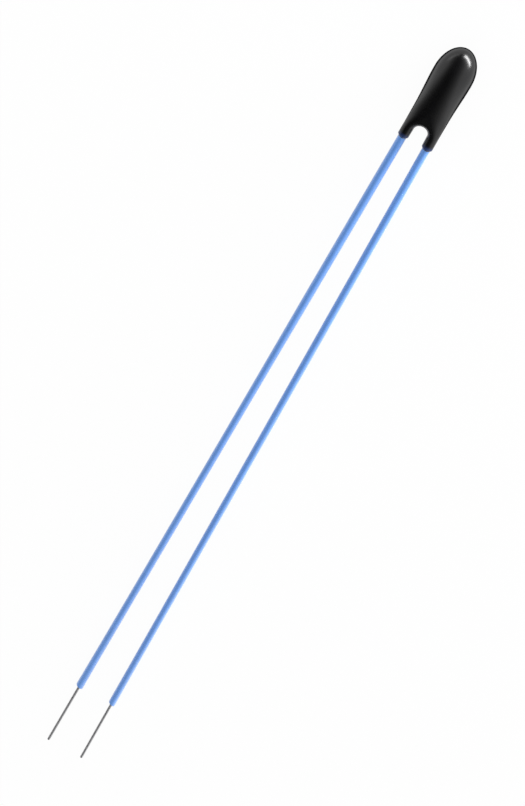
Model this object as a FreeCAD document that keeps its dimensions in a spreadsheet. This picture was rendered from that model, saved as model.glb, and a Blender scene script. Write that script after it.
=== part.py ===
"""Epoxy-coated bead thermistor on two thin insulated leads.

Millimetres. +X runs along the leads, away from the bead, and +Z is up. The origin lies on
the table under the middle of the bead, which rests on its belly, and the leads come down
to the table and lie on it. Left and right are as seen with the bead at the back, looking
down: the left lead is on the side of -Y.
"""
import FreeCAD, Part
import math
import os

from FreeCAD import Placement, Rotation, Vector
from Sketcher import Constraint

SIZES = [
    # the bead
    ("head_length", 6.5, "from the tip of the bead to the ends of its legs"),
    ("bulb_radius", 1.2, "round part of the bead, over the chip"),
    ("dome_length", 1.76, "from the tip to the widest place"),
    ("dome_blend", 0.45, "the drawn body starts this far before the widest place"),
    ("leg_length", 1.17, "from the bottom of the gap to the ends of the legs"),
    ("coat_wall", 0.09, "coating left over a sleeve, on the legs"),
    ("gap_half_width", 0.43, "half of the gap between the legs, at its round bottom"),
    ("gap_splay", 0.04, "each side of the gap opens by this much at the ends"),
    ("saddle_radius", 0.2, "rounding of the coating where it runs over the gap's edges"),
    # the leads
    ("lead_half_spacing", 0.79, "from the middle to a lead, at the legs' ends"),
    ("sleeve_radius", 0.25, "outside of the insulation"),
    ("wire_radius", 0.1, "solid conductor"),
    ("bore_clearance", 0.01, "between the conductor and the bore of its sleeve"),
    ("sleeve_embedded", 2.3, "how far a sleeve reaches into the coating"),
    ("sleeve_free", 51.7, "insulation seen outside the coating, along X"),
    ("bare_length", 6.55, "stripped end of the conductor, along X"),
    ("strip_bend", 0.1, "past its sleeve the conductor turns over twice this length"),
    ("tip_clearance", 0.05, "between the conductor's tip and the table"),
    ("sleeve_end_bevel", 0.07, "broken edge of the cut end of the insulation"),
    ("inner_bend_radius", 1.2, "bends of the conductor inside the coating"),
    # the chip and its joints
    ("chip_side", 1.0, "square face of the chip"),
    ("chip_thickness", 0.5, "across the leads"),
    ("chip_from_tip", 1.85, "from the tip of the bead to the middle of the chip"),
    ("film_margin", 0.06, "bare rim of the chip round an electrode"),
    ("film_thickness", 0.02, "fired electrode"),
    ("solder_under_wire", 0.02, "solder between an electrode and the conductor"),
    ("solder_over_wire", 0.09, "solder outside the conductor"),
    ("solder_foot_radius", 0.4, "mound of solder, on the electrode"),
    ("solder_top_radius", 0.24, "mound of solder, at its top"),
    ("joint_overlap", 0.2, "the conductor's end lies this far past the chip's middle"),
    ("joint_run", 0.65, "straight conductor from the chip's middle to its first bend"),
]

# Sections of the drawn body: the place as a share of the way from the widest place to the
# bottom of the gap, or past 1 down the legs to their ends at 2, then the fullness of width
# and height, from a leg's (0) to the bulb's (1), and the end radius as a share of half height.
SECTION_SHARES = [
    ("upper", 0.36, 0.64, 0.80, 0.88),
    ("lower", 0.68, 0.20, 0.43, 0.88),
    ("gap", 1.0, 0.0, 0.13, 0.88),
    ("mid_leg", 1.5, 0.0, 0.03, 0.95),
    ("leg_end", 2.0, 0.0, 0.0, 0.97),
]
CIRCLE_SPLIT = 42.0  # degrees above the Y axis at which a round section is divided
SADDLE_SHARE = 0.66  # the saddle's rounding is at most this share of a leg's radius
ARC_SHARE = 0.45  # how far an arc of a lead reaches along the shorter of its two runs
LAST_BEND_SHARE = 0.62  # place of the last inner bend, from the first one to the sleeve
NEAR = 0.01  # lengths below this count as none where edges are picked

# The free lead, chosen by hand: along X from the legs' ends, and outward from the lead's
# place there. It leaves straight, bends once, and comes down to the table at its cut end.
LEAD_BEND = (24.7, 0.274)
SLEEVE_END_OUTWARD = 0.57
TIP_OUTWARD = 0.635

SIDES = {"left": -1, "right": 1}

doc = FreeCAD.newDocument("thermistor")
sheet = doc.addObject("Spreadsheet::Sheet", "sheet")


def fill_sheet():
    """Writes each driving size into the sheet as a plain number with its alias."""
    for row, (alias, value, meaning) in enumerate(SIZES, start=1):
        sheet.set(f"A{row}", alias)
        sheet.set(f"B{row}", str(value))
        sheet.set(f"C{row}", meaning)
        sheet.setAlias(f"B{row}", alias)
    doc.recompute()


fill_sheet()
size = {alias: float(sheet.get(alias)) for alias, _, _ in SIZES}

# Expressions that several features share.
LEG_END = "(sheet.head_length / 2)"
GAP_BOTTOM = "(sheet.head_length / 2 - sheet.leg_length)"
WIDEST = "(-sheet.head_length / 2 + sheet.dome_length)"
LEG_RADIUS = "(sheet.sleeve_radius + sheet.coat_wall)"
CHIP_PLACE = "(-sheet.head_length / 2 + sheet.chip_from_tip)"
FILM_FACE = "(sheet.chip_thickness / 2 + sheet.film_thickness)"

leg_end = size["head_length"] / 2
sleeve_slope = LEAD_BEND[1] / LEAD_BEND[0]


def origin_plane(body, role):
    """The named plane of a body's own origin."""
    return next(f for f in body.Origin.OriginFeatures if f.Role == role)


def new_body(name):
    """A body whose local X axis is the axis of the bead."""
    body = doc.addObject("PartDesign::Body", name)
    body.setExpression("Placement.Base.z", "sheet.bulb_radius")
    return body


def new_sketch(body, name, role, offset=None):
    """A sketch on one of the body's origin planes, moved along the plane's normal."""
    sketch = body.newObject("Sketcher::SketchObject", name)
    sketch.AttachmentSupport = [(origin_plane(body, role), "")]
    sketch.MapMode = "FlatFace"
    if offset:
        sketch.setExpression("AttachmentOffset.Base.z", offset)
    return sketch


def bind(sketch, name, constraint, expression):
    """Adds a named constraint, whose size is the expression."""
    sketch.renameConstraint(sketch.addConstraint(constraint), name)
    sketch.setExpression(f"Constraints.{name}", expression)


def value_of(expression):
    """The expression's value now, for the first position of a sketch's curves."""
    result = sheet.evalExpression(expression.replace("sheet.", ""))
    return float(getattr(result, "Value", result))


def arc(center_x, center_y, radius, start, end):
    """An arc in the plane of a sketch, from start to end in degrees."""
    circle = Part.Circle(Vector(center_x, center_y, 0), Vector(0, 0, 1), radius)
    return Part.ArcOfCircle(circle, math.radians(start), math.radians(end))


def four_arcs(sketch, ends, broads, end_radius, broad_radius, corner):
    """A closed outline, even about both axes: two end arcs, and a broad one above and below.

    ends and broads give the first position as (centre from the middle, radius, half angle).
    The radii and the corner, where an end arc meets the upper broad one, are expressions.
    """
    center, radius, turn = ends
    drop, broad, _ = broads
    sketch.addGeometry(arc(center, 0, radius, -turn, turn), False)
    sketch.addGeometry(arc(0, -drop, broad, turn, 180 - turn), False)
    sketch.addGeometry(arc(-center, 0, radius, 180 - turn, 180 + turn), False)
    sketch.addGeometry(arc(0, drop, broad, 180 + turn, 360 - turn), False)
    for here in range(4):
        following = (here + 1) % 4
        sketch.addConstraint(Constraint("Coincident", here, 2, following, 1))
    sketch.addConstraint(Constraint("Symmetric", 0, 2, 0, 1, -1))
    sketch.addConstraint(Constraint("Symmetric", 1, 1, 1, 2, -2))
    sketch.addConstraint(Constraint("Symmetric", 2, 2, 0, 2, -1, 1))
    sketch.addConstraint(Constraint("Equal", 0, 2))
    sketch.addConstraint(Constraint("Equal", 1, 3))
    bind(sketch, "end_radius", Constraint("Radius", 0, radius), end_radius)
    bind(sketch, "broad_radius", Constraint("Radius", 1, broad), broad_radius)
    meet = Vector(center, 0, 0) + radius * Vector(
        math.cos(math.radians(turn)), math.sin(math.radians(turn)), 0
    )
    bind(sketch, "corner_out", Constraint("DistanceX", -1, 1, 0, 2, meet.x), corner[0])
    bind(sketch, "corner_up", Constraint("DistanceY", -1, 1, 0, 2, meet.y), corner[1])


def round_section(body, name, place, radius):
    """A circle across the X axis, in four arcs like the ovals that follow it."""
    sketch = new_sketch(body, name, "YZ_Plane", place)
    r, split = value_of(radius), math.radians(CIRCLE_SPLIT)
    corner = f"{radius} * {math.cos(split):.6f}", f"{radius} * {math.sin(split):.6f}"
    whole = (0.0, r, CIRCLE_SPLIT)
    four_arcs(sketch, whole, whole, radius, radius, corner)
    return sketch


def oval_section(body, name, place, half_width, half_height, roundness):
    """A four-arc oval across the X axis, whose end arcs are tangent to the broad ones.

    With w the half width less the end radius and t the half height less the end radius, the
    broad arc's centre lies (w^2 - t^2) / 2t beyond the middle.
    """
    sketch = new_sketch(body, name, "YZ_Plane", place)
    a, b = value_of(half_width), value_of(half_height)
    end = roundness * b
    drop = ((a - end) ** 2 - (b - end) ** 2) / (2 * (b - end))
    turn = math.degrees(math.atan2(drop, a - end))
    end_radius = f"({roundness} * {half_height})"
    across = f"({half_width} - {end_radius})"
    up = f"({half_height} - {end_radius})"
    broad_radius = f"({half_height} + ({across}^2 - {up}^2) / (2 * {up}))"
    reach = f"({broad_radius} - {end_radius})"
    corner = (
        f"{across} * (1 + {end_radius} / {reach})",
        f"{end_radius} * sqrt(1 - ({across} / {reach})^2)",
    )
    four_arcs(sketch, (a - end, end, turn), (drop, b + drop, turn), end_radius, broad_radius, corner)
    return sketch


def leg_line(place):
    """How far from the middle the lead's axis is at a place along X, near the legs."""
    return f"(sheet.lead_half_spacing - ({LEG_END} - {place}) * {sleeve_slope:.8f})"


def draw_gap(body):
    """Cuts the U-shaped gap between the legs, through the whole thickness."""
    sketch = new_sketch(body, "gap_outline", "XY_Plane")
    half, splay = size["gap_half_width"], size["gap_splay"]
    bottom = leg_end - size["leg_length"]
    middle, past = bottom + half, leg_end + half
    sketch.addGeometry(arc(middle, 0, half, 90, 270), False)
    corners = [
        Vector(middle, -half, 0),
        Vector(past, -half - splay, 0),
        Vector(past, half + splay, 0),
        Vector(middle, half, 0),
    ]
    for first, second in zip(corners, corners[1:]):
        sketch.addGeometry(Part.LineSegment(first, second), False)
    for here, following in ((0, 1), (1, 2), (2, 3)):
        sketch.addConstraint(Constraint("Coincident", here, 2, following, 1))
    sketch.addConstraint(Constraint("Coincident", 3, 2, 0, 1))
    sketch.addConstraint(Constraint("PointOnObject", 0, 3, -1))
    sketch.addConstraint(Constraint("Vertical", 0, 1, 0, 2))
    sketch.addConstraint(Constraint("Vertical", 0, 1, 0, 3))
    sketch.addConstraint(Constraint("Symmetric", 2, 1, 2, 2, -1))
    bind(sketch, "bottom_radius", Constraint("Radius", 0, half), "sheet.gap_half_width")
    bind(
        sketch,
        "bottom_center",
        Constraint("DistanceX", -1, 1, 0, 3, middle),
        f"{GAP_BOTTOM} + sheet.gap_half_width",
    )
    bind(
        sketch,
        "past_the_legs",
        Constraint("DistanceX", -1, 1, 2, 1, past),
        f"{LEG_END} + sheet.gap_half_width",
    )
    bind(
        sketch,
        "open_width",
        Constraint("DistanceY", 2, 1, 2, 2, 2 * (half + splay)),
        "2 * (sheet.gap_half_width + sheet.gap_splay)",
    )
    gap = body.newObject("PartDesign::Pocket", "gap")
    gap.Profile = sketch
    gap.Type = "ThroughAll"
    gap.Midplane = True
    return gap


def edge_names(shape, wanted):
    """The names of a shape's edges for which wanted(edge) is true."""
    return [f"Edge{i}" for i, e in enumerate(shape.Edges, start=1) if wanted(e)]


def round_edges(body, name, base, names, radius):
    """A fillet on the named edges of a feature."""
    fillet = body.newObject("PartDesign::Fillet", name)
    fillet.Base = (base, names)
    fillet.setExpression("Radius", radius)
    doc.recompute()
    return fillet


def turn_dome(body):
    """The tip of the bead: part of half an ellipse, turned round the bead's axis."""
    length, radius, blend = size["dome_length"], size["bulb_radius"], size["dome_blend"]
    widest = Vector(value_of(WIDEST), 0, 0)
    start = math.pi / 2 + math.asin(blend / length)
    outline = Part.ArcOfEllipse(Part.Ellipse(widest, length, radius), start, math.pi)
    edge, tip = outline.StartPoint, outline.EndPoint
    foot = Vector(edge.x, 0, 0)
    sketch = new_sketch(body, "dome_outline", "XY_Plane")
    curve = sketch.addGeometry(outline, False)
    across = sketch.addGeometry(Part.LineSegment(edge, foot), False)
    axis = sketch.addGeometry(Part.LineSegment(foot, tip), False)
    sketch.exposeInternalGeometry(curve)
    long_axis, short_axis = axis + 1, axis + 2
    sketch.addConstraint(Constraint("Coincident", curve, 1, across, 1))
    sketch.addConstraint(Constraint("Coincident", across, 2, axis, 1))
    sketch.addConstraint(Constraint("Coincident", axis, 2, curve, 2))
    sketch.addConstraint(Constraint("Vertical", across))
    sketch.addConstraint(Constraint("PointOnObject", axis, 1, -1))
    sketch.addConstraint(Constraint("PointOnObject", axis, 2, -1))
    sketch.addConstraint(Constraint("PointOnObject", curve, 3, -1))
    sketch.addConstraint(Constraint("Horizontal", long_axis))
    bind(sketch, "place", Constraint("DistanceX", curve, 3, -1, 1, -widest.x), f"-{WIDEST}")
    bind(sketch, "long", Constraint("Distance", long_axis, 2 * length), "2 * sheet.dome_length")
    bind(sketch, "short", Constraint("Distance", short_axis, 2 * radius), "2 * sheet.bulb_radius")
    bind(sketch, "blend", Constraint("DistanceX", curve, 1, curve, 3, blend), "sheet.dome_blend")
    dome = body.newObject("PartDesign::Revolution", "dome")
    dome.Profile = sketch
    dome.ReferenceAxis = (sketch, ["H_Axis"])
    dome.Angle = 360
    return dome


def make_bead():
    """The outer form of the coating: dome, drawn body, gap and saddle."""
    body = new_body("bead")
    turn_dome(body)
    doc.recompute()

    blend_place = f"({WIDEST} - sheet.dome_blend)"
    blend_radius = "(sheet.bulb_radius * sqrt(1 - (sheet.dome_blend / sheet.dome_length)^2))"
    sections = [
        round_section(body, "section_blend", blend_place, blend_radius),
        round_section(body, "section_bulb", WIDEST, "sheet.bulb_radius"),
    ]
    for name, share, width, height, roundness in SECTION_SHARES:
        place = f"({WIDEST} + {min(share, 1)} * ({GAP_BOTTOM} - {WIDEST})"
        place += f" + {max(share - 1, 0)} * sheet.leg_length)"
        leg_width = f"({leg_line(place)} + {LEG_RADIUS})"
        half_width = f"({leg_width} + {width} * (sheet.bulb_radius - {leg_width}))"
        half_height = f"({LEG_RADIUS} + {height} * (sheet.bulb_radius - {LEG_RADIUS}))"
        sections.append(
            oval_section(body, f"section_{name}", place, half_width, half_height, roundness)
        )
    doc.recompute()
    drawn = body.newObject("PartDesign::AdditiveLoft", "drawn_body")
    drawn.Profile = sections[0]
    drawn.Sections = sections[1:]
    drawn.Ruled = False
    drawn.Closed = False
    doc.recompute()

    gap = draw_gap(body)
    doc.recompute()
    half = size["gap_half_width"] + size["gap_splay"] + NEAR

    def over_the_gap(edge):
        box = edge.BoundBox
        inside = max(abs(box.YMin), abs(box.YMax)) < half
        one_side = box.ZMin > 0 or box.ZMax < 0
        return inside and one_side and box.XLength > NEAR

    saddle = round_edges(
        body,
        "saddle",
        gap,
        edge_names(gap.Shape, over_the_gap),
        f"min(sheet.saddle_radius; {SADDLE_SHARE} * {LEG_RADIUS})",
    )

    body.Tip = saddle
    doc.recompute()
    return body


def bead_point(along, outward, down=0.0):
    """A point by its X, its distance from the middle and its depth under the bead's axis."""
    return Vector(along, outward, size["bulb_radius"] - down)


def lead_points():
    """The corners of one lead's path on the +Y side, and the two ends of its sleeve.

    The first three corners are inside the bead: along the chip's face, out to the leg and
    straight along the leg. The next is LEAD_BEND, and the last is the strip bend, just past
    the sleeve, from which the bare conductor runs on less steeply, its tip just off the table.
    """
    chip = -size["head_length"] / 2 + size["chip_from_tip"]
    film_face = size["chip_thickness"] / 2 + size["film_thickness"]
    on_chip = film_face + size["solder_under_wire"] + size["wire_radius"]
    at_legs = size["lead_half_spacing"]
    lying = size["bulb_radius"] - size["sleeve_radius"]
    tip_down = size["bulb_radius"] - size["wire_radius"] - size["tip_clearance"]
    sleeve_start = leg_end - size["sleeve_embedded"]
    first_bend = chip + size["joint_run"]
    last_bend = first_bend + LAST_BEND_SHARE * (sleeve_start - first_bend)

    def on_leg(place):
        return bead_point(place, at_legs - (leg_end - place) * sleeve_slope)

    inner = [
        bead_point(chip - size["joint_overlap"], on_chip),
        bead_point(first_bend, on_chip),
        on_leg(last_bend),
    ]
    free_bend = bead_point(leg_end + LEAD_BEND[0], at_legs + LEAD_BEND[1])
    cut = leg_end + size["sleeve_free"]
    sleeve_end = bead_point(cut, at_legs + SLEEVE_END_OUTWARD, lying)
    tip = bead_point(cut + size["bare_length"], at_legs + TIP_OUTWARD, tip_down)
    strip_bend = sleeve_end + (sleeve_end - free_bend).normalize() * size["strip_bend"]
    return inner, free_bend, [strip_bend, tip], on_leg(sleeve_start), sleeve_end


def setbacks(points):
    """How far each inner corner's arc reaches along its two runs, by the shorter one."""
    runs = [(b - a).Length for a, b in zip(points, points[1:])]
    return [ARC_SHARE * min(first, second) for first, second in zip(runs, runs[1:])]


def inner_setbacks(points, radius):
    """The same for arcs of a given radius, which is smaller where the runs leave no room."""
    turns = [
        (b - a).getAngle(c - b) for a, b, c in zip(points, points[1:], points[2:])
    ]
    wanted = [radius * math.tan(turn / 2) for turn in turns]
    return [min(pair) for pair in zip(wanted, setbacks(points))]


def rounded_path(points, reach):
    """Straight runs joined by tangent arcs, and the arcs' radii."""
    edges, radii, last = [], [], points[0]
    for before, corner, after, back in zip(points, points[1:], points[2:], reach):
        arrive = (corner - before).normalize()
        leave = (after - corner).normalize()
        half_turn = arrive.getAngle(leave) / 2
        start, end = corner - arrive * back, corner + leave * back
        inward = (leave - arrive).normalize()
        radius = back / math.tan(half_turn)
        middle = corner + inward * (radius * (1 / math.cos(half_turn) - 1))
        edges.append(Part.LineSegment(last, start).toShape())
        edges.append(Part.Arc(start, middle, end).toShape())
        radii.append(radius)
        last = end
    edges.append(Part.LineSegment(last, points[-1]).toShape())
    return Part.Wire(edges), radii


def mirrored(point, side):
    """The point on the side of +Y (1) or -Y (-1)."""
    return Vector(point.x, side * point.y, point.z)


def add_path(name, points, reach):
    """The path as an object that sweeps can follow."""
    wire, radii = rounded_path(points, reach)
    path = doc.addObject("Part::Feature", name)
    path.Shape = wire
    return path, radii


def tube(name, path, start, direction, radius):
    """A round solid swept along a path, its radius bound to the sheet."""
    ring = doc.addObject("Part::Circle", f"{name}_section")
    ring.setExpression("Radius", radius)
    ring.Placement = Placement(start, Rotation(Vector(0, 0, 1), direction))
    sweep = doc.addObject("Part::Sweep", name)
    sweep.Sections = [ring]
    sweep.Spine = (path, [f"Edge{i}" for i in range(1, len(path.Shape.Edges) + 1)])
    sweep.Solid = True
    return sweep


def bevel_end(label, base, end):
    """Breaks the outer edge of a sleeve's cut end, the longest of the circles that lie there."""
    doc.recompute()
    reach = size["sleeve_radius"] + NEAR
    circles = [
        (edge.Length, index)
        for index, edge in enumerate(base.Shape.Edges, start=1)
        if edge.isClosed() and (edge.Vertexes[0].Point - end).Length < reach
    ]
    broken = doc.addObject("Part::Chamfer", label)
    broken.Base = base
    bevel = size["sleeve_end_bevel"]
    broken.Edges = [(max(circles)[1], bevel, bevel)]
    return broken


def make_lead(name, side):
    """One lead: its conductor, its hollow sleeve, and the room that they take in the bead."""
    inner, free_bend, bare, sleeve_start, sleeve_end = lead_points()
    sleeve_points = [mirrored(p, side) for p in [sleeve_start, free_bend, sleeve_end]]
    wire_points = [mirrored(p, side) for p in [*inner, free_bend, *bare]]
    sleeve_reach = setbacks(sleeve_points)
    inner_reach = inner_setbacks([*wire_points[:3], sleeve_points[0]], size["inner_bend_radius"])
    wire_reach = [*inner_reach, *sleeve_reach, size["strip_bend"]]

    wire_path, wire_radii = add_path(f"wire_path_{name}", wire_points, wire_reach)
    sleeve_path, _ = add_path(f"sleeve_path_{name}", sleeve_points, sleeve_reach)
    wire_way = wire_points[1] - wire_points[0]
    sleeve_way = sleeve_points[1] - sleeve_points[0]
    conductor = tube(
        f"lead_wire_{name}", wire_path, wire_points[0], wire_way, "sheet.wire_radius"
    )
    outer = tube(
        f"sleeve_outer_{name}", sleeve_path, sleeve_points[0], sleeve_way, "sheet.sleeve_radius"
    )
    bore = tube(
        f"sleeve_bore_{name}",
        sleeve_path,
        sleeve_points[0],
        sleeve_way,
        "sheet.wire_radius + sheet.bore_clearance",
    )
    hollow = doc.addObject("Part::Cut", f"sleeve_hollow_{name}")
    hollow.Base = outer
    hollow.Tool = bore
    sleeve = bevel_end(f"lead_insulation_{name}", hollow, sleeve_points[-1])
    print(f"{name} lead, arc radii in mm:", " ".join(f"{r:.1f}" for r in wire_radii))
    return conductor, sleeve, outer


def make_chip():
    """The ceramic chip, square, standing across the leads."""
    chip = doc.addObject("Part::Box", "ntc_chip")
    chip.setExpression("Length", "sheet.chip_side")
    chip.setExpression("Width", "sheet.chip_thickness")
    chip.setExpression("Height", "sheet.chip_side")
    chip.setExpression("Placement.Base.x", f"{CHIP_PLACE} - sheet.chip_side / 2")
    chip.setExpression("Placement.Base.y", "-sheet.chip_thickness / 2")
    chip.setExpression("Placement.Base.z", "sheet.bulb_radius - sheet.chip_side / 2")
    return chip


def make_electrode(name, side):
    """The fired metal film on one face of the chip."""
    film = doc.addObject("Part::Box", f"electrode_{name}")
    inset = "sheet.chip_side / 2 - sheet.film_margin"
    film.setExpression("Length", f"2 * ({inset})")
    film.setExpression("Width", "sheet.film_thickness")
    film.setExpression("Height", f"2 * ({inset})")
    film.setExpression("Placement.Base.x", f"{CHIP_PLACE} - ({inset})")
    low = "sheet.chip_thickness / 2" if side > 0 else f"-{FILM_FACE}"
    film.setExpression("Placement.Base.y", low)
    film.setExpression("Placement.Base.z", f"sheet.bulb_radius - ({inset})")
    return film


def make_solder(name, side, conductor):
    """A mound of solder on an electrode, with the conductor's end in it."""
    mound = doc.addObject("Part::Cone", f"solder_form_{name}")
    mound.setExpression("Radius1", "sheet.solder_foot_radius")
    mound.setExpression("Radius2", "sheet.solder_top_radius")
    mound.setExpression(
        "Height",
        "sheet.solder_under_wire + 2 * sheet.wire_radius + sheet.solder_over_wire",
    )
    mound.Placement.Rotation = Rotation(Vector(0, 0, 1), Vector(0, side, 0))
    mound.setExpression("Placement.Base.x", CHIP_PLACE)
    mound.setExpression("Placement.Base.y", f"{side} * {FILM_FACE}")
    mound.setExpression("Placement.Base.z", "sheet.bulb_radius")
    joint = doc.addObject("Part::Cut", f"solder_{name}")
    joint.Base = mound
    joint.Tool = conductor
    return joint, mound


def make_coating(bead, contents):
    """The coating: the bead with exactly the room that its contents take."""
    filling = doc.addObject("Part::MultiFuse", "contents")
    filling.Shapes = contents
    coating = doc.addObject("Part::Cut", "head_coating")
    coating.Base = bead
    coating.Tool = filling
    return coating


def check_document():
    """Stops on a feature that failed without raising."""
    for thing in doc.Objects:
        if {"Invalid", "Error"} & set(thing.State):
            raise RuntimeError(f"{thing.Name} failed: {thing.State}")


def write_parts(parts):
    """Writes each sub-part, after testing that its shape is whole."""
    os.makedirs("parts", exist_ok=True)
    for part in parts:
        shape = part.Shape
        if shape.isNull() or not shape.isValid() or shape.Volume <= 0:
            raise RuntimeError(f"{part.Label} has no valid shape")
        shape.exportStep(f"parts/{part.Label}.step")
        print(f"{part.Label}: {len(shape.Solids)} solid, {shape.Volume:.5f} mm3")


bead = make_bead()
chip = make_chip()
parts, contents = [chip], [chip]
for name, side in SIDES.items():
    conductor, sleeve, sleeve_room = make_lead(name, side)
    film = make_electrode(name, side)
    joint, mound = make_solder(name, side, conductor)
    parts += [film, joint, conductor, sleeve]
    contents += [film, mound, conductor, sleeve_room]
parts.append(make_coating(bead, contents))
doc.recompute()
check_document()
write_parts(parts)
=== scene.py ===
"""Looks of the bead thermistor: its camera, its two leads, the dipped bead and the stage.

Metres. +X runs along the leads, away from the bead, +Z is up, and the origin lies on the
table under the middle of the bead. Left and right are the sides of -Y and +Y.
"""

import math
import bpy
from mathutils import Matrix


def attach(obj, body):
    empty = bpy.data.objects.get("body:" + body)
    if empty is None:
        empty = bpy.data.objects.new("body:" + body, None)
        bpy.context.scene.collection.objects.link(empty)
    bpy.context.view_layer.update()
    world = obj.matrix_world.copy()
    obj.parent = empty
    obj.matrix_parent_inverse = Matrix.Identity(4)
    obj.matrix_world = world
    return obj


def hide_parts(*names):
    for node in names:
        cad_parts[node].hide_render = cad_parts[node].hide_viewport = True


bl_info = {
    "name": "Bead thermistor looks",
    "version": (1, 0, 0),
    "blender": (4, 5, 0),
    "location": "View3D > Sidebar > Thermistor",
    "description": "Leads, dipped bead, materials and stage of a bead thermistor",
    "category": "Object",
}

import bmesh
import bpy
import numpy as np
from mathutils import Matrix, Vector

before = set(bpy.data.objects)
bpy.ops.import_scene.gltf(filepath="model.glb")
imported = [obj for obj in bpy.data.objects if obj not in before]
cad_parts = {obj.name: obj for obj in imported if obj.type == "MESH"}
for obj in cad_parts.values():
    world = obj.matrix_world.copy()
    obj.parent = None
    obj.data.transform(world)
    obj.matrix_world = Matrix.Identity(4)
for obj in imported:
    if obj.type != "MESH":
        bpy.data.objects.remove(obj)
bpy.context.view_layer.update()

MM = 0.001
SIDES = {"left": -1, "right": 1}
TAU = 2 * math.pi

UP = Vector((0, 0, 1))

# The camera of the photograph: it looks down from beyond the bead, with the bead at the top.
# Its lens and the width of its sensor are in millimetres.
CAMERA_PLACE = Vector((-0.040665, -0.00245, 0.09829))
CAMERA_AIM = Vector((0.025075, -0.00007, 0))
PICTURE_RIGHT = Vector((-0.4149, 0.8730, -0.2563))
CAMERA_LENS, CAMERA_SENSOR = 80.97, 36

# One lead's route on the side of +Y, in millimetres: the joint on the chip and the bends to
# the leg, the sleeve's start, bend and cut end, then the strip bend and the conductor's tip.
WIRE_IN_BEAD = (
    (-1.6, 0.39, 1.2),
    (-0.75, 0.39, 1.2),
    (0.304, 0.7573, 1.2),
    (0.95, 0.7645, 1.2),
)
SLEEVE_ROUTE = ((0.95, 0.7645, 1.2), (27.95, 1.064, 1.2), (54.95, 1.36, 0.25))
BARE_END = ((54.95, 1.36, 0.25), (55.05, 1.361, 0.2465), (61.5, 1.425, 0.15))

# How finely each stretch of a route's smooth line is divided.
LINE_STEPS = 96

# A sleeve's far end, in metres: how far back its flare and the slant of its cut reach, and
# where and over what length it swells. The rounding of its cut edge, and of the conductor's
# tip, is a share of the radius there.
FLARE_REACH = 7 * MM
SLANT_REACH = 0.5 * MM
SWELL_PLACE, SWELL_REACH = 43 * MM, 9 * MM
CUT_EDGE, CUT_RINGS = 0.14, 9
TIP_EDGE, TIP_RINGS = 0.35, 7

# The line's own rings stop this many roundings before the cut and before the tip, and the
# bore has a ring at only one in so many of its points.
CUT_CLEAR, TIP_CLEAR = 1.5, 1.2
BORE_STRIDE = 8

# A pole starts as a ring of the first radius, in metres, and points nearer than the second
# length become one.
POLE, POLE_MERGE = 1e-9, 1e-8


def smooth(x, start, end):
    """0 before start and 1 after end, with the cubic 3t^2 - 2t^3 between."""
    t = np.clip((x - start) / (end - start), 0, 1)
    return t * t * (3 - 2 * t)


def quarter_round(u):
    """Height of a quarter circle over its run: 0 at u = 0, rising upright, and 1 from u = 1."""
    return np.sqrt(1 - (1 - np.clip(u, 0, 1)) ** 2)


def make_camera():
    """The photograph's camera, turned by its line of sight and the picture's right."""
    camera = bpy.data.objects.new("camera", bpy.data.cameras.new("camera"))
    bpy.context.scene.collection.objects.link(camera)
    back = (CAMERA_PLACE - CAMERA_AIM).normalized()
    right = (PICTURE_RIGHT - back * PICTURE_RIGHT.dot(back)).normalized()
    turned = Matrix((right, back.cross(right), back)).transposed().to_4x4()
    camera.matrix_world = Matrix.Translation(CAMERA_PLACE) @ turned
    camera.data.lens = CAMERA_LENS
    camera.data.sensor_width = CAMERA_SENSOR
    camera.data.clip_start = 0.001
    camera.data.clip_end = 5
    bpy.context.scene.camera = camera


def spline_line(route, side):
    """Points of the smooth line that has a route's points as its controls, on one side."""
    curve = bpy.data.curves.new("route", "CURVE")
    curve.dimensions = "3D"
    curve.resolution_u = LINE_STEPS
    spline = curve.splines.new("NURBS")
    spline.points.add(len(route) - 1)
    controls = np.array([(x, side * y, z, 1) for x, y, z in route]) * (MM, MM, MM, 1)
    spline.points.foreach_set("co", controls.ravel())
    spline.order_u = 3
    spline.use_endpoint_u = True
    holder = bpy.data.objects.new("route", curve)
    mesh = bpy.data.meshes.new_from_object(holder)
    line = np.empty(3 * len(mesh.vertices))
    mesh.vertices.foreach_get("co", line)
    bpy.data.objects.remove(holder)
    bpy.data.curves.remove(curve)
    bpy.data.meshes.remove(mesh)
    return line.reshape(-1, 3)


def directions(line):
    """Unit vectors along a line: ahead on it, level across it, and square to both."""
    ahead = np.gradient(line, axis=0)
    ahead /= np.linalg.norm(ahead, axis=1)[:, None]
    level = np.cross(UP, ahead)
    level /= np.linalg.norm(level, axis=1)[:, None]
    return ahead, level, np.cross(ahead, level)


def carried_rings(centres, level, square, radii, around):
    """Circles of the given radii round points of a line, as an array of rings by points.

    A point lies at centre + radius * (cos(a) * level + sin(a) * square), with a from 0 to a
    full turn.
    """
    angle = np.arange(around) / around * TAU
    across = np.cos(angle)[None, :, None] * level[:, None]
    across = across + np.sin(angle)[None, :, None] * square[:, None]
    return centres[:, None] + radii[:, None, None] * across


def ring_faces(rings, around, closed):
    """Four-sided faces between neighbouring rings, and from the last to the first if closed."""
    row = np.arange(rings if closed else rings - 1)[:, None]
    col = np.arange(around)[None]
    ahead, beside = (row + 1) % rings, (col + 1) % around
    corners = (row * around + col, ahead * around + col, ahead * around + beside)
    return np.stack([*corners, row * around + beside], -1).reshape(-1, 4)


def new_mesh(name, points, faces):
    """A smooth-shaded object at the origin, its place in its mesh."""
    mesh = bpy.data.meshes.new(name)
    mesh.from_pydata(points.reshape(-1, 3).tolist(), [], faces.tolist())
    mesh.polygons.foreach_set("use_smooth", np.ones(len(mesh.polygons), bool))
    thing = bpy.data.objects.new(name, mesh)
    bpy.context.scene.collection.objects.link(thing)
    return thing


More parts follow.
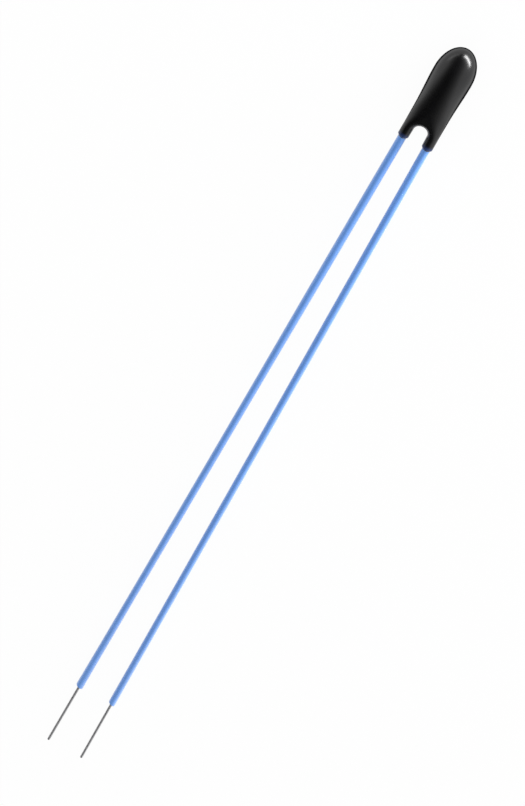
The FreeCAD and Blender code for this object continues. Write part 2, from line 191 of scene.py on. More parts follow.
def outward(thing, merge=0.0):
    """Merges points nearer than merge and turns all faces outwards."""
    work = bmesh.new()
    work.from_mesh(thing.data)
    if merge:
        bmesh.ops.remove_doubles(work, verts=work.verts, dist=merge)
        bmesh.ops.dissolve_degenerate(work, edges=work.edges, dist=merge)
    bmesh.ops.recalc_face_normals(work, faces=work.faces)
    work.to_mesh(thing.data)
    work.free()


def sleeve_surface(name, line, radius, bore, slant, flare, swell, around=48):
    """A hollow sleeve: its outside, the rounded cut end, and its bore back to the start.

    The outer radius is radius * (1 + flare * exp(-d / 7 mm) + swell * exp(-s^2)), with d the
    way back from the cut end and s = (d - 43 mm) / 9 mm. The edge of the cut is a quarter
    circle. The cut is slanted: points move back by slant * (1 - cos(a)) / 2, which fades
    with exp(-(d / 0.5 mm)^2), so the side of -Y is the shorter one. No ring dips under the
    table.
    """
    ahead, level, square = directions(line)
    step = np.linalg.norm(np.diff(line, axis=0), axis=1)
    from_end = np.append(np.cumsum(step[::-1])[::-1], 0)
    swelling = swell * np.exp(-(((from_end - SWELL_PLACE) / SWELL_REACH) ** 2))
    outside = radius * (1 + flare * np.exp(-from_end / FLARE_REACH) + swelling)
    edge = CUT_EDGE * radius
    turn = np.linspace(0, math.pi / 2, CUT_RINGS)
    keep = from_end > CUT_CLEAR * edge
    cut_back = edge * (1 - np.sin(turn))
    cut_centres = line[-1] - ahead[-1] * cut_back[:, None]
    cut_radii = outside[-1] - edge * (1 - np.cos(turn))
    back = np.r_[len(line) - 1 : 0 : -BORE_STRIDE, 0]
    centres = np.vstack([line[keep], cut_centres, line[back]])
    levels = np.vstack([level[keep], np.tile(level[-1], (CUT_RINGS, 1)), level[back]])
    squares = np.vstack([square[keep], np.tile(square[-1], (CUT_RINGS, 1)), square[back]])
    radii = np.concatenate([outside[keep], cut_radii, np.full(len(back), bore)])
    centres[:, 2] = np.maximum(centres[:, 2], radii)
    way = np.concatenate([from_end[keep], cut_back, from_end[back]])
    slope = (1 - np.cos(np.arange(around) / around * TAU)) / 2
    shift = slant * np.exp(-((way / SLANT_REACH) ** 2))[:, None] * slope
    rings = carried_rings(centres, levels, squares, radii, around)
    rings -= shift[..., None] * ahead[-1]
    sleeve = new_mesh(name, rings, ring_faces(len(rings), around, True))
    add_lead_map(sleeve, len(rings), around, True)
    outward(sleeve)
    return sleeve


def add_lead_map(thing, rings, around, closed):
    """UV: once round across, and along by ring, so that patterns follow the lead."""
    row = np.arange(rings if closed else rings - 1)[:, None]
    col = np.arange(around)[None]
    u = np.stack([col, col, col + 1, col + 1], -1) / around + 0 * row[..., None]
    v = np.stack([row, row + 1, row + 1, row], -1) / rings + 0 * col[..., None]
    layer = thing.data.uv_layers.new(name="UVMap")
    layer.data.foreach_set("uv", np.stack([u, v], -1).ravel())


def wire_surface(name, line, radius, around=32):
    """The solid conductor: flat at its start, with a rounded edge at its tip.

    The edge is a quarter circle: edge * (1 - sin(t)) back from the tip, the radius is less
    by edge * (1 - cos(t)).
    """
    ahead, level, square = directions(line)
    turn = np.linspace(0, math.pi / 2, TIP_RINGS)[1:]
    edge = TIP_EDGE * radius
    tip = line[-1] - ahead[-1] * (edge * (1 - np.sin(turn)))[:, None]
    keep = np.linalg.norm(line - line[-1], axis=1) > TIP_CLEAR * edge
    centres = np.vstack([line[:1], line[keep], tip, line[-1:]])
    levels = np.vstack([level[:1], level[keep], np.tile(level[-1], (TIP_RINGS, 1))])
    squares = np.vstack([square[:1], square[keep], np.tile(square[-1], (TIP_RINGS, 1))])
    body = np.full(keep.sum(), radius)
    radii = np.concatenate([[POLE], body, radius - edge * (1 - np.cos(turn)), [POLE]])
    rings = carried_rings(centres, levels, squares, radii, around)
    wire = new_mesh(name, rings, ring_faces(len(rings), around, False))
    add_lead_map(wire, len(rings), around, False)
    outward(wire, POLE_MERGE)
    return wire


def leg_axis(x):
    """Distance of a lead's axis from the middle, in millimetres along the legs."""
    start, bend = SLEEVE_ROUTE[0], SLEEVE_ROUTE[1]
    return start[1] + (x - start[0]) * (bend[1] - start[1]) / (bend[0] - start[0])


# The bead, in millimetres: its widest place along X, the dome's length and radius, the legs'
# ends and radius, the round bottom of the gap with its half width and the opening per
# length, the rounding of its edges, the rounding of the legs' ends, and where the ridge forks.
WIDEST = -1.49
DOME = (1.76, 1.2)
END = 3.25
LEG_RADIUS = 0.34
GAP_CENTRE, GAP_HALF, GAP_SPLAY = 2.51, 0.43, 0.034
GAP_EDGE = 0.3
LIP = 0.12
RIDGE_FORK = (0.9, 2.5)

# How fast the bulb falls away to the legs, in height and in width, and where the rest of its
# height is taken back.
HEIGHT_BELL, WIDTH_BELL = 2.64, 1.734
HEIGHT_GONE = (1.6, 3.05)

# Points of the bead's grid: up a column, and columns round the dome, along the body, down a
# leg and round its end. Points nearer than the last length, in metres, become one.
COLUMN_POINTS = 41
DOME_COLUMNS, BODY_COLUMNS, LEG_COLUMNS, LIP_COLUMNS = 49, 57, 17, 13
SEAM_MERGE = 2e-8


def half_height(x):
    """Leg radius plus a bell that falls away from the widest place and is gone on the legs."""
    bell = np.exp(-(((x - WIDEST) / HEIGHT_BELL) ** 2)) * (1 - smooth(x, *HEIGHT_GONE))
    return LEG_RADIUS + (DOME[1] - LEG_RADIUS) * bell


def half_width(x):
    """Outside of the leg's line plus a narrower bell, out to the bulb's radius."""
    bell = np.exp(-(((x - WIDEST) / WIDTH_BELL) ** 2))
    legs = leg_axis(x) + LEG_RADIUS
    return legs + (DOME[1] - leg_axis(WIDEST) - LEG_RADIUS) * bell


def ridge(x):
    """The highest line of the bead, which forks smoothly from the middle to the legs' axes."""
    return leg_axis(x) * smooth(x, *RIDGE_FORK)


def gap_side(x):
    """Inner side of a leg: the gap opens slightly towards the legs' ends."""
    return GAP_HALF + GAP_SPLAY * (x - GAP_CENTRE)


def bead_height(x, y):
    """Height of the bead over its middle plane at points of the +Y half, from its outline.

    Half height times a quarter round from the outer side to the ridge, times a quarter round
    of 0.3 mm from the edge of the gap.
    """
    outer = (half_width(x) - y) / (half_width(x) - ridge(x))
    round_gap = np.hypot(x - GAP_CENTRE, y) - GAP_HALF
    inner = np.where(x < GAP_CENTRE, round_gap, y - gap_side(x)) / GAP_EDGE
    return half_height(x) * quarter_round(outer) * quarter_round(inner)


def bead_surface(name):
    """The dipped bead, as columns from its outline in plan (phi = 0) up to its ridge.

    Over the dome a point is K + (B - K) cos(phi), at height 1.2 sin(phi), from the widest
    place K to the ellipse's point B. Further on, columns run from the outer side, the leg's
    end, the leg's inner side and the round of the gap to the ridge, at bead_height. At the
    legs' ends the sections shrink by a quarter circle onto the lead's axis. The quarter is
    mirrored in Y and Z.
    """
    phi = np.linspace(0, math.pi / 2, COLUMN_POINTS)
    rise = 1 - np.cos(phi)
    tip = np.linspace(0, math.pi / 2, DOME_COLUMNS)[:, None]
    dome = np.stack(
        [
            WIDEST - DOME[0] * np.cos(tip) * np.cos(phi),
            DOME[1] * np.sin(tip) * np.cos(phi),
            DOME[1] * np.sin(phi) + 0 * tip,
        ],
        -1,
    )
    fork = RIDGE_FORK[0] + (GAP_CENTRE - RIDGE_FORK[0]) * np.linspace(0, 1, BODY_COLUMNS)
    body = np.linspace(WIDEST, RIDGE_FORK[0], BODY_COLUMNS)
    legs = np.linspace(GAP_CENTRE, END - LIP, LEG_COLUMNS)

    def column(foot, top):
        """Columns from their feet in plan to the ridge, closer together near the foot."""
        plan = foot[:, None] + (top - foot)[:, None] * rise[:, None]
        x, y = plan[..., 0], plan[..., 1]
        return np.stack([x, y, bead_height(x, y)], -1)

    def on(x, y):
        """Places in plan."""
        return np.stack([x, y], -1)

    outer_x = np.concatenate([body[1:], fork[1:], legs[1:]])
    outer = column(on(outer_x, half_width(outer_x)), on(outer_x, ridge(outer_x)))
    inner_x = legs[::-1]
    inner = column(on(inner_x, gap_side(inner_x)), on(inner_x, ridge(inner_x)))
    turn = math.pi / 2 * np.linspace(0, 1, len(fork))[1:]
    round_foot = on(GAP_CENTRE - GAP_HALF * np.sin(turn), GAP_HALF * np.cos(turn))
    round_x = fork[::-1][1:]
    bottom = column(round_foot, on(round_x, ridge(round_x)))

    shrink = np.linspace(0, math.pi / 2, LIP_COLUMNS)[1:, None, None]
    axis = np.array([END - LIP, leg_axis(END - LIP), 0])

    def lip(section):
        """Copies of a leg's last column that shrink onto its axis by a quarter circle."""
        shrunk = axis + (section[None] - axis) * np.cos(shrink)
        return shrunk + LIP * np.sin(shrink) * np.array([1.0, 0, 0])

    columns = np.concatenate([dome, outer, lip(outer[-1]), lip(inner[0])[::-1], inner, bottom])
    count, high = columns.shape[:2]
    row, col = np.arange(count - 1)[:, None], np.arange(high - 1)[None]
    first = row * high + col
    faces = np.stack([first, first + high, first + high + 1, first + 1], -1).reshape(-1, 4)
    flips = [np.array([1, side, up]) for side in (-1, 1) for up in (-1, 1)]
    points = np.concatenate([columns.reshape(-1, 3) * flip for flip in flips])
    points = (points + [0, 0, DOME[1]]) * MM
    faces = np.concatenate([faces + i * count * high for i in range(4)])
    bead = new_mesh(name, points, faces)
    outward(bead, SEAM_MERGE)
    return bead


def add(tree, kind, place=(0, 0), inputs=None, **settings):
    """A node with its settings and the values of its sockets."""
    node = tree.nodes.new(kind)
    node.location = place
    for name, value in settings.items():
        setattr(node, name, value)
    for name, value in (inputs or {}).items():
        node.inputs[name].default_value = value
    return node


FLOAT, VECTOR = "NodeSocketFloat", "NodeSocketVector"


def group_of(name, inputs, outputs):
    """A new node group with named inputs and outputs, and its two end nodes."""
    tree = bpy.data.node_groups.new(name, "ShaderNodeTree")
    for label, kind, value in inputs:
        socket = tree.interface.new_socket(label, in_out="INPUT", socket_type=kind)
        if value is not None:
            socket.default_value = value
    for label, kind in outputs:
        tree.interface.new_socket(label, in_out="OUTPUT", socket_type=kind)
    start = add(tree, "NodeGroupInput", (-700, 0))
    end = add(tree, "NodeGroupOutput", (500, 0))
    return tree, start, end


def grain_group():
    """Cloudy grain of one size: a value between two limits."""
    wanted = [("Position", VECTOR, None), ("Scale", FLOAT, 1000.0)]
    wanted += [("Low", FLOAT, 0.0), ("High", FLOAT, 1.0)]
    tree, start, end = group_of("grain", wanted, [("Value", FLOAT)])
    noise = add(tree, "ShaderNodeTexNoise", (-400, 0), {"Detail": 3.0, "Roughness": 0.55})
    spread = add(tree, "ShaderNodeMapRange", (-100, 0), {"From Min": 0.3, "From Max": 0.7})
    tree.links.new(start.outputs["Position"], noise.inputs["Vector"])
    tree.links.new(start.outputs["Scale"], noise.inputs["Scale"])
    tree.links.new(noise.outputs["Fac"], spread.inputs["Value"])
    tree.links.new(start.outputs["Low"], spread.inputs["To Min"])
    tree.links.new(start.outputs["High"], spread.inputs["To Max"])
    tree.links.new(spread.outputs["Result"], end.inputs["Value"])
    return tree


def drawn_group():
    """Lines along a drawn lead: noise on a cylinder, long along it and seamless round it."""
    wanted = [("Map", VECTOR, None), ("Lines", FLOAT, 6.0), ("Changes", FLOAT, 8.0)]
    tree, start, end = group_of("drawn_lines", wanted, [("Value", FLOAT)])
    parts = add(tree, "ShaderNodeSeparateXYZ", (-520, 0))
    turn = add(tree, "ShaderNodeMath", (-360, 120), {1: TAU}, operation="MULTIPLY")
    cosine = add(tree, "ShaderNodeMath", (-200, 200), operation="COSINE")
    sine = add(tree, "ShaderNodeMath", (-200, 80), operation="SINE")
    along = add(tree, "ShaderNodeMath", (-360, -80), operation="MULTIPLY")
    ring = add(tree, "ShaderNodeCombineXYZ", (-40, 120))
    round_it = add(tree, "ShaderNodeVectorMath", (100, 120), operation="SCALE")
    whole = add(tree, "ShaderNodeCombineXYZ", (-40, -120))
    place = add(tree, "ShaderNodeVectorMath", (200, 0), operation="ADD")
    noise = add(tree, "ShaderNodeTexNoise", (340, 0), {"Scale": 1.0, "Detail": 2.0})
    links = [
        (start.outputs["Map"], parts.inputs[0]),
        (parts.outputs["X"], turn.inputs[0]),
        (turn.outputs[0], cosine.inputs[0]),
        (turn.outputs[0], sine.inputs[0]),
        (parts.outputs["Y"], along.inputs[0]),
        (start.outputs["Changes"], along.inputs[1]),
        (cosine.outputs[0], ring.inputs["X"]),
        (sine.outputs[0], ring.inputs["Y"]),
        (ring.outputs[0], round_it.inputs[0]),
        (start.outputs["Lines"], round_it.inputs["Scale"]),
        (along.outputs[0], whole.inputs["Z"]),
        (round_it.outputs[0], place.inputs[0]),
        (whole.outputs[0], place.inputs[1]),
        (place.outputs[0], noise.inputs["Vector"]),
        (noise.outputs["Fac"], end.inputs["Value"]),
    ]
    for source, target in links:
        tree.links.new(source, target)
    return tree


GROUP_MAKERS = {"grain": grain_group, "drawn_lines": drawn_group}
GROUPS = {}


def shared(name):
    """The shared node group of that name, made on its first use."""
    if name not in GROUPS:
        GROUPS[name] = GROUP_MAKERS[name]()
    return GROUPS[name]


# Sockets of a Mix node that mixes colours: its two colours and its result.
MIX_COLOURS, MIX_RESULT = (6, 7), 2


class Finish:
    """A material under making: its tree, its Principled shader and short ways to fill them."""

    def __init__(self, name, **constants):
        self.material = bpy.data.materials.new(name)
        self.material.use_nodes = True
        self.tree = self.material.node_tree
        self.shader = self.tree.nodes["Principled BSDF"]
        self.place = add(self.tree, "ShaderNodeTexCoord", (-1100, 0))
        for label, value in constants.items():
            self.shader.inputs[label.replace("_", " ")].default_value = value

    def link(self, source, target):
        """Links a socket to another."""
        self.tree.links.new(source, target)

    def fill(self, target, value):
        """Links a socket where the value is one, and gives it the plain value otherwise."""
        if isinstance(value, bpy.types.NodeSocket):
            self.link(value, target)
        else:
            target.default_value = value

    def feed(self, source, label):
        """Links a socket to the shader's socket of that name."""
        self.link(source, self.shader.inputs[label])

    def grain(self, scale, low=0.0, high=1.0, place=(-800, 0)):
        """Cloudy grain on Object coordinates, between two limits."""
        node = add(self.tree, "ShaderNodeGroup", place, node_tree=shared("grain"))
        for label, value in (("Scale", scale), ("Low", low), ("High", high)):
            node.inputs[label].default_value = value
        self.link(self.place.outputs["Object"], node.inputs["Position"])
        return node.outputs["Value"]

    def drawn(self, lines, changes, place=(-800, -300)):
        """Lines along a lead on its UV map: so many round it, changing so many times along."""
        node = add(self.tree, "ShaderNodeGroup", place, node_tree=shared("drawn_lines"))
        node.inputs["Lines"].default_value = lines
        node.inputs["Changes"].default_value = changes
        self.link(self.place.outputs["UV"], node.inputs["Map"])
        return node.outputs["Value"]

    def along(self, place=(-900, 500)):
        """The place along the leads, from the object's X."""
        parts = add(self.tree, "ShaderNodeSeparateXYZ", place)
        self.link(self.place.outputs["Object"], parts.inputs[0])
        return parts.outputs["X"]

    def ramp(self, value, span, low=0.0, high=1.0, kind="LINEAR", place=(-700, 500)):
        """A value that goes from low to high over a span of another one, and stays there."""
        limits = {"From Min": span[0], "From Max": span[1], "To Min": low}
        node = add(self.tree, "ShaderNodeMapRange", place, limits, interpolation_type=kind)
        self.link(value, node.inputs["Value"])
        self.fill(node.inputs["To Max"], high)
        return node.outputs["Result"]

    def between(self, value, first, second, place=(-500, 0)):
        """A mix of two colours, each a socket or a plain one."""
        node = add(self.tree, "ShaderNodeMix", place, data_type="RGBA")
        self.link(value, node.inputs["Factor"])
        for index, colour in zip(MIX_COLOURS, (first, second)):
            linked = isinstance(colour, bpy.types.NodeSocket)
            self.fill(node.inputs[index], colour if linked else (*colour, 1))
        return node.outputs[MIX_RESULT]

    def shades(self, value, colour, darkest, lightest):
        """A colour that is made darker and lighter by those factors."""
        dark, light = ([factor * c for c in colour] for factor in (darkest, lightest))
        return self.between(value, dark, light)

    def roughness(self, scale, low, high):
        """Roughness with a cloudy grain between two limits."""
        self.feed(self.grain(scale, low, high, (-800, -200)), "Roughness")

    def bump(self, height, distance):
        """Fine relief of the surface, of that depth in metres."""
        node = add(self.tree, "ShaderNodeBump", (-300, -400), {"Distance": distance})
        self.link(height, node.inputs["Height"])
        self.feed(node.outputs["Normal"], "Normal")


# Where the sleeve leaves a leg, this share of its blue is left: a thin film of dark epoxy
# there, and painted shade of the leg's end.
FILM_AND_PAINTED_SHADE = 0.06

# The gloss of the epoxy falls where the surface has turned away by this share, down to a
# least weight, which rises to the full one over this stretch of X, at the gap's bottom.
GLOSS_TURN = (0.54, 0.67)
LEAST_GLOSS = 0.03
FULL_GLOSS = (1.5 * MM, 2.3 * MM)


def epoxy_finish(settings):
    """Black dipped epoxy: a clear gloss over black.

    The gloss is weaker where the surface turns away, but not round the gap and on the legs.
    The epoxy thins out at the legs' ends, where the blue of the sleeves shows through.
    """
    finish = Finish("black_epoxy", Coat_Roughness=0.25, Coat_IOR=1.5, Specular_IOR_Level=0.0)
    black = finish.shades(finish.grain(1500), settings.colour, 0.8, 1.3)
    thinning = (END * MM - settings.thinning, END * MM)
    thin = finish.ramp(finish.along(), thinning, kind="SMOOTHSTEP")
    finish.feed(finish.between(thin, black, settings.thin_colour, (-300, 0)), "Base Color")
    finish.roughness(4000, 0.35, 0.5)
    facing = add(finish.tree, "ShaderNodeLayerWeight", (-700, 300), {"Blend": 0.5})
    least = finish.ramp(finish.along(), FULL_GLOSS, LEAST_GLOSS, 1.0)
    gloss = finish.ramp(facing.outputs["Facing"], GLOSS_TURN, 1.0, least, place=(-450, 300))
    finish.feed(gloss, "Coat Weight")
    return finish.material


def sleeve_finish(settings):
    """Satin blue insulation, cloudy and faintly drawn, with a thin epoxy film and painted shade
    just where it leaves a leg.
    """
    finish = Finish("blue_insulation", IOR=2.0, Sheen_Weight=0.7, Sheen_Roughness=0.5)
    colour = settings.sleeve_colour
    blue = finish.shades(finish.grain(700), colour, 0.95, 1.05)
    # The darker blue at the sleeve's start is an epoxy film and painted shade of the leg's end.
    film_and_shade = (END * MM, END * MM + settings.film_and_shade)
    free = finish.ramp(finish.along(), film_and_shade, kind="SMOOTHSTEP")
    dark = [FILM_AND_PAINTED_SHADE * c for c in colour]
    finish.feed(finish.between(free, dark, blue, (-300, 200)), "Base Color")
    finish.roughness(2500, 0.36, 0.46)
    finish.bump(finish.drawn(4, 40), 0.000002)
    return finish.material


def wire_finish(settings):
    """Drawn and plated wire, satin, with fine lines along it."""
    finish = Finish("plated_wire", Metallic=1.0)
    lines = finish.drawn(9, 30)
    finish.feed(finish.shades(lines, settings.wire_colour, 0.8, 1.2), "Base Color")
    finish.roughness(3000, 0.58, 0.7)
    finish.bump(lines, 0.000003)
    return finish.material


def grainy_finish(name, scale, colours, roughness, depth, metallic):
    """A plain finish: two near colours in a grain that is also its relief."""
    finish = Finish(name, Metallic=metallic)
    grain = finish.grain(scale)
    finish.feed(finish.between(grain, *colours), "Base Color")
    finish.roughness(*roughness)
    finish.bump(grain, depth)
    return finish.material


def ceramic_finish():
    """Sawn dark ceramic, matt and grainy."""
    colours = ((0.035, 0.033, 0.031), (0.07, 0.067, 0.063))
    return grainy_finish("chip_ceramic", 9000, colours, (5000, 0.6, 0.8), 0.000005, 0.0)


def silver_finish():
    """Fired silver, matt, with a fine printed grain."""
    colours = ((0.62, 0.61, 0.57), (0.78, 0.77, 0.73))
    return grainy_finish("silver_film", 12000, colours, (6000, 0.45, 0.6), 0.000003, 1.0)


def solder_finish():
    """Solder that has flowed and set: bright, slightly wrinkled."""
    colours = ((0.5, 0.5, 0.51), (0.62, 0.62, 0.63))
    return grainy_finish("solder", 3500, colours, (5000, 0.2, 0.38), 0.00001, 1.0)


# How much of the sweep is plain white where it is seen or mirrored, and its two near whites.
PLAIN_SHARE = 0.95
PAPER = ((0.86, 0.86, 0.86), (0.9, 0.9, 0.9))


def paper_finish():
    """White sweep: plain white where seen and mirrored, with a little real light and shade."""
    finish = Finish("white_sweep", Roughness=0.9, Specular_IOR_Level=0.0)
    tree = finish.tree
    finish.feed(finish.between(finish.grain(60), *PAPER), "Base Color")
    path = add(tree, "ShaderNodeLightPath", (-900, 500))
    seen = add(tree, "ShaderNodeMath", (-650, 500), operation="MAXIMUM")
    through = add(tree, "ShaderNodeMath", (-500, 500), operation="MAXIMUM")
    share = add(tree, "ShaderNodeMath", (-350, 500), {1: PLAIN_SHARE}, operation="MULTIPLY")
    white = add(tree, "ShaderNodeEmission", (0, 300), {"Strength": 1.0})
    both = add(tree, "ShaderNodeMixShader", (300, 200))
    output = tree.nodes["Material Output"]
    finish.link(path.outputs["Is Camera Ray"], seen.inputs[0])
    finish.link(path.outputs["Is Glossy Ray"], seen.inputs[1])
    finish.link(seen.outputs[0], through.inputs[0])
    finish.link(path.outputs["Is Transmission Ray"], through.inputs[1])
    finish.link(through.outputs[0], share.inputs[0])
    finish.link(share.outputs[0], both.inputs["Fac"])
    finish.link(finish.shader.outputs[0], both.inputs[1])
    finish.link(white.outputs[0], both.inputs[2])
    finish.link(both.outputs[0], output.inputs["Surface"])
    finish.material.cycles.emission_sampling = "NONE"
    return finish.material


# The sweep's rings, its first one's radius, and the length under which points become one,
# both in metres.
SWEEP_RINGS, SWEEP_CORE, SWEEP_MERGE = 24, 0.001, 1e-6


def sweep_surface(name, radius, around=96):
    """The white floor: a disc of rings, each further out than the last by the same share."""
    out = np.geomspace(SWEEP_CORE, radius, SWEEP_RINGS)
    angle = np.arange(around) / around * TAU
    circle = np.stack([np.cos(angle), np.sin(angle), 0 * angle], -1)
    rings = out[:, None, None] * circle
    rings = np.concatenate([0 * rings[:1], rings])
    sweep = new_mesh(name, rings, ring_faces(len(rings), around, False))
    outward(sweep, SWEEP_MERGE)
    return sweep


def add_lamp(name, place, aim, size, radiance):
    """A rectangular lamp at a place, turned to a point, of a given brightness."""
    lamp = bpy.data.lights.new(name, "AREA")
    lamp.shape = "RECTANGLE"
    lamp.size, lamp.size_y = size
    lamp.energy = radiance * math.pi * size[0] * size[1]
    thing = bpy.data.objects.new(name, lamp)
    thing.location = place
    thing.rotation_euler = (Vector(aim) - Vector(place)).to_track_quat("-Z", "Y").to_euler()
    bpy.context.scene.collection.objects.link(thing)


# Each lamp's place, and its width and height. Both are turned to the tip of the bead.
LAMPS = {
    "tip_lamp": ((-0.130, 0.072, 0.0145), (0.16, 0.028)),
    "side_lamp": ((-0.10, -0.12, 0.014), (0.14, 0.027)),
}
LAMP_AIM = (-0.003, 0, 0.0015)

# The room in reflections: how bright it is at a direction's y, from the left to the right.
ROOM = (
    (-0.98, 1.25),
    (-0.85, 0.75),
    (-0.7, 0.2),
    (-0.5, 0.01),
    (-0.1, 0.0),
    (0.15, 0.08),
    (0.45, 0.3),
    (0.75, 1.0),
    (0.98, 2.0),
)


def make_world(settings):
    """The room: soft light on matt surfaces, stronger from the right, and white where seen.

    In reflections it is dark overhead and grows brighter towards both sides, by a ramp over
    the direction's y, which is halved and moved from -1 to 1 onto the ramp's 0 to 1.
    """
    world = bpy.data.worlds.new("room")
    bpy.context.scene.world = world
    world.use_nodes = True
    tree = world.node_tree
    fill = tree.nodes["Background"]
    fill.inputs["Color"].default_value = (1, 1, 1, 1)
    sides = add(tree, "ShaderNodeBackground", (0, -150), {"Strength": settings.sides})
    seen = add(tree, "ShaderNodeBackground", (0, -300), {"Strength": 1.0})
    seen.inputs["Color"].default_value = (1, 1, 1, 1)
    way = add(tree, "ShaderNodeTexCoord", (-1100, -200))
    parts = add(tree, "ShaderNodeSeparateXYZ", (-900, -200))
    lean = {1: settings.lean, 2: settings.fill}
    level = add(tree, "ShaderNodeMath", (-650, 100), lean, operation="MULTIPLY_ADD")
    most = {1: settings.most}
    capped = add(tree, "ShaderNodeMath", (-450, 100), most, operation="MINIMUM")
    halved = {1: 0.5, 2: 0.5}
    spread = add(tree, "ShaderNodeMath", (-650, -200), halved, operation="MULTIPLY_ADD")
    ramp = add(tree, "ShaderNodeValToRGB", (-400, -200))
    ramp.color_ramp.interpolation = "B_SPLINE"
    stops = ramp.color_ramp.elements
    for y, grey in ROOM:
        stops.new((y + 1) / 2).color = (grey, grey, grey, 1)
    stops.remove(stops[0])
    stops.remove(stops[-1])
    path = add(tree, "ShaderNodeLightPath", (-300, 300))
    mirrored = add(tree, "ShaderNodeMixShader", (250, 0))
    looked_at = add(tree, "ShaderNodeMixShader", (450, 0))
    links = [
        (way.outputs["Generated"], parts.inputs[0]),
        (parts.outputs["Y"], level.inputs[0]),
        (level.outputs[0], capped.inputs[0]),
        (capped.outputs[0], fill.inputs["Strength"]),
        (parts.outputs["Y"], spread.inputs[0]),
        (spread.outputs[0], ramp.inputs["Fac"]),
        (ramp.outputs["Color"], sides.inputs["Color"]),
        (path.outputs["Is Glossy Ray"], mirrored.inputs["Fac"]),
        (fill.outputs[0], mirrored.inputs[1]),
        (sides.outputs[0], mirrored.inputs[2]),
        (path.outputs["Is Camera Ray"], looked_at.inputs["Fac"]),
        (mirrored.outputs[0], looked_at.inputs[1]),
        (seen.outputs[0], looked_at.inputs[2]),
        (looked_at.outputs[0], tree.nodes["World Output"].inputs["Surface"]),
    ]
    for source, target in links:
        tree.links.new(source, target)


def length_property(name, description, default):
    """A size in metres that a user may change."""
    return bpy.props.FloatProperty(
        name=name, description=description, default=default, unit="LENGTH", precision=6
    )


def colour_property(name, description, default):
    """A colour that a user may change."""
    return bpy.props.FloatVectorProperty(
        name=name, description=description, default=default, subtype="COLOR", min=0, max=1
    )


def level_property(name, description, default):
    """A level from 0 up that a user may change."""
    return bpy.props.FloatProperty(name=name, description=description, default=default, min=0)


def factor_property(name, description, default):
    """A share, up or down, that a user may change."""
    return bpy.props.FloatProperty(name=name, description=description, default=default)


class LeadSettings(bpy.types.PropertyGroup):
    """Sizes and colours of the two insulated leads."""

    sleeve_radius: length_property("Sleeve radius", "Outside of the insulation", 0.00025)
    bore: length_property("Bore", "Radius of the sleeve's bore", 0.00011)
    wire_radius: length_property("Wire radius", "Radius of the conductor", 0.0001)
    # The dark start of a sleeve is a thin epoxy film and painted shade at the leg's end.
    film_and_shade: length_property("Epoxy film", "How far dark epoxy creeps along a sleeve", 0.00002)
    slant: length_property("Slant", "How much shorter the cut leaves one side", 0.00018)
    flare_left: level_property("Left flare", "How far the left cut end opens", 0.17)
    flare_right: level_property("Right flare", "How far the right cut end opens", 0.08)
    swell_left: factor_property("Left swell", "How much the left sleeve swells midway", 0.07)
    swell_right: factor_property("Right swell", "How much the right sleeve swells midway", 0.0)
    sleeve_colour: colour_property("Sleeve", "Blue of the insulation", (0.064, 0.262, 0.742))
    wire_colour: colour_property("Wire", "Grey of the plated wire", (0.56, 0.56, 0.57))


class BeadSettings(bpy.types.PropertyGroup):
    """Colours of the dipped bead."""

    colour: colour_property("Epoxy", "Black of the epoxy", (0.0025, 0.0025, 0.0028))
    thin_colour: colour_property("Thin epoxy", "Epoxy with blue behind it", (0.02, 0.045, 0.16))
    thinning: length_property("Thinning", "How far from a leg's end it grows thin", 0.0004)


class StageSettings(bpy.types.PropertyGroup):
    """Levels of the studio light and sizes of the white sweep."""

    floor: length_property("Floor", "Radius of the flat floor", 2.0)
    fill: level_property("Fill", "Light from all round on matt surfaces", 1.0)
    lean: factor_property("Lean", "How much more of that light comes from the right", 0.5)
    most: level_property("Most fill", "Upper limit of that light on the right", 0.94)
    sides: level_property("Sides", "Brightness of the room in reflections", 1.0)
    tip_lamp: level_property("Tip lamp", "Brightness of the lamp beyond the tip", 35.0)
    side_lamp: level_property("Side lamp", "Brightness of the lamp left of the tip", 1.5)


class THERMISTOR_OT_leads(bpy.types.Operator):
    """Makes both insulated leads, each with its conductor in its sleeve"""

    bl_idname = "thermistor.leads"
    bl_label = "Leads"

    def execute(self, context):
        settings = context.scene.thermistor_leads
        forms = {
            "left": (settings.flare_left, settings.swell_left),
            "right": (settings.flare_right, settings.swell_right),
        }
        blue, plated = sleeve_finish(settings), wire_finish(settings)
        for name, side in SIDES.items():
            line = spline_line(SLEEVE_ROUTE, side)
            inside, bare = spline_line(WIRE_IN_BEAD, side), spline_line(BARE_END, side)
            sleeve = sleeve_surface(
                f"insulation_{name}", line, settings.sleeve_radius, settings.bore,
                settings.slant, *forms[name],
            )
            wire_line = np.vstack([inside, line[1:], bare[1:]])
            wire = wire_surface(f"wire_{name}", wire_line, settings.wire_radius)
            sleeve.data.materials.append(blue)
            wire.data.materials.append(plated)
            for piece, node, slot in (
                (sleeve, f"lead_insulation_{name}", "blue_insulation"),
                (wire, f"lead_wire_{name}", "plated_wire"),
            ):
                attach(piece, "root")
                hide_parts(node)
        return {"FINISHED"}


class THERMISTOR_OT_bead(bpy.types.Operator):
    """Makes the dipped epoxy bead with its two legs"""

    bl_idname = "thermistor.bead"
    bl_label = "Bead"

    def execute(self, context):
        bead = bead_surface("dipped_bead")
        bead.data.materials.append(epoxy_finish(context.scene.thermistor_bead))
        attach(bead, "root")
        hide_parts("head_coating")
        return {"FINISHED"}


class THERMISTOR_OT_inside(bpy.types.Operator):
    """Gives the chip, its fired faces and the solder their finishes"""

    bl_idname = "thermistor.inside"
    bl_label = "Chip and joints"

    def execute(self, context):
        finishes = {"ntc_chip": ceramic_finish()}
        silver, solder = silver_finish(), solder_finish()
        for name in SIDES:
            finishes[f"electrode_{name}"] = silver
            finishes[f"solder_{name}"] = solder
        for node, material in finishes.items():
            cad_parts[node].material_slots[0].material = material
        return {"FINISHED"}


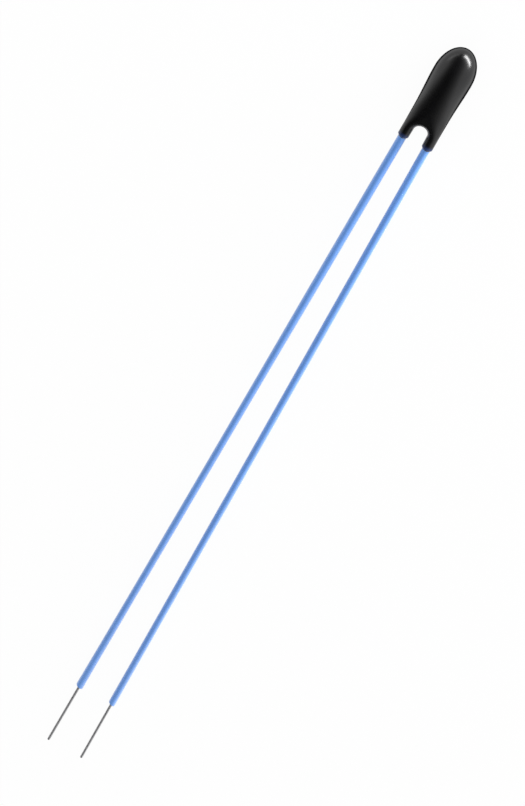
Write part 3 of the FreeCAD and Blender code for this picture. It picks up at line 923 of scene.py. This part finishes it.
class THERMISTOR_OT_stage(bpy.types.Operator):
    """Makes the white sweep, the lamps and the room"""

    bl_idname = "thermistor.stage"
    bl_label = "Stage"

    def execute(self, context):
        settings = context.scene.thermistor_stage
        sweep = sweep_surface("white_sweep", settings.floor)
        sweep.data.materials.append(paper_finish())
        for name, (place, size) in LAMPS.items():
            add_lamp(name, place, LAMP_AIM, size, getattr(settings, name))
        make_world(settings)
        return {"FINISHED"}


OPERATORS = (THERMISTOR_OT_leads, THERMISTOR_OT_bead, THERMISTOR_OT_inside, THERMISTOR_OT_stage)
SETTINGS = {
    "thermistor_leads": LeadSettings,
    "thermistor_bead": BeadSettings,
    "thermistor_stage": StageSettings,
}


class THERMISTOR_PT_panel(bpy.types.Panel):
    """Settings and makers of the thermistor's pieces"""

    bl_idname = "THERMISTOR_PT_panel"
    bl_label = "Thermistor"
    bl_space_type = "VIEW_3D"
    bl_region_type = "UI"
    bl_category = "Thermistor"

    def draw(self, context):
        """Lists the settings, group by group, and then the makers."""
        for key, group in SETTINGS.items():
            box = self.layout.box()
            for name in group.__annotations__:
                box.prop(getattr(context.scene, key), name)
        for operator in OPERATORS:
            self.layout.operator(operator.bl_idname)


def register():
    """Registers the settings on the scene, the makers and the panel."""
    for group in SETTINGS.values():
        bpy.utils.register_class(group)
    for key, group in SETTINGS.items():
        setattr(bpy.types.Scene, key, bpy.props.PointerProperty(type=group))
    for kind in (*OPERATORS, THERMISTOR_PT_panel):
        bpy.utils.register_class(kind)


def unregister():
    """Takes back all that register has added."""
    for kind in reversed((*OPERATORS, THERMISTOR_PT_panel)):
        bpy.utils.unregister_class(kind)
    for key, group in SETTINGS.items():
        delattr(bpy.types.Scene, key)
        bpy.utils.unregister_class(group)


def main():
    """Makes the camera, the leads, the bead and the stage."""
    register()
    bpy.context.scene.view_settings.view_transform = "Standard"
    make_camera()
    bpy.ops.thermistor.leads()
    bpy.ops.thermistor.bead()
    bpy.ops.thermistor.inside()
    bpy.ops.thermistor.stage()


if __name__ == "__main__":
    main()
